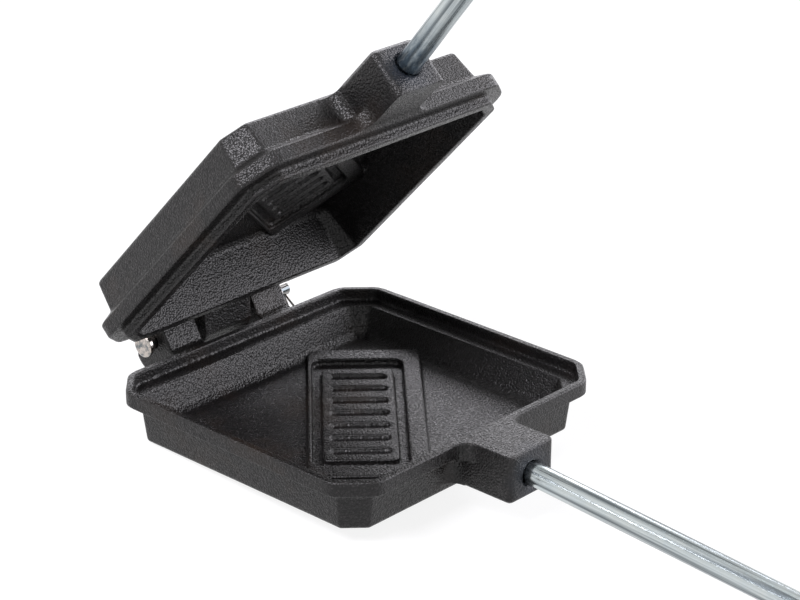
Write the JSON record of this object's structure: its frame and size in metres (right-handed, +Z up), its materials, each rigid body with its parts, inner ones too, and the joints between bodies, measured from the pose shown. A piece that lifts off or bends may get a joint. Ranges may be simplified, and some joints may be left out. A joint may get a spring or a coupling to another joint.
{
  "type": "pie iron",
  "caption": "Square cast-iron pie iron: hinged pans with cut corners, long steel rods and wooden grips, drawn partly open.",
  "frame": {"origin": "middle of the bounding box at its lowest face, which is the ground the iron lies on", "axes": "+X from the hinge towards the grips, along the rods in plan; +Y along the hinge pin towards its cotter; +Z up from the ground"},
  "size_m": [0.7124, 0.123, 0.598],
  "materials": {
    "pan_iron": "as cast, coarse grain, near black",
    "plated_steel": "bright zinc plate",
    "grip_wood": "turned, thin varnish"
  },
  "bodies": {
    "lower_half": {"lower_pan": "pan_iron", "hinge_pin": "plated_steel", "hinge_washer": "plated_steel", "cotter_pin": "plated_steel", "lower_rod": "plated_steel", "lower_ferrule": "plated_steel", "lower_grip": "grip_wood", "lower_grip_pin": "plated_steel"},
    "upper_half": {"upper_pan": "pan_iron", "upper_rod": "plated_steel", "upper_ferrule": "plated_steel", "upper_grip": "grip_wood", "upper_grip_pin": "plated_steel"}
  },
  "joints": [
    {"name": "lid_hinge", "type": "hinge", "parent": "lower_half", "child": "upper_half", "pos_m": [-0.34801, 0, 0.01894], "axis": [0, -1, 0], "range_deg": [-47, 123]}
  ]
}
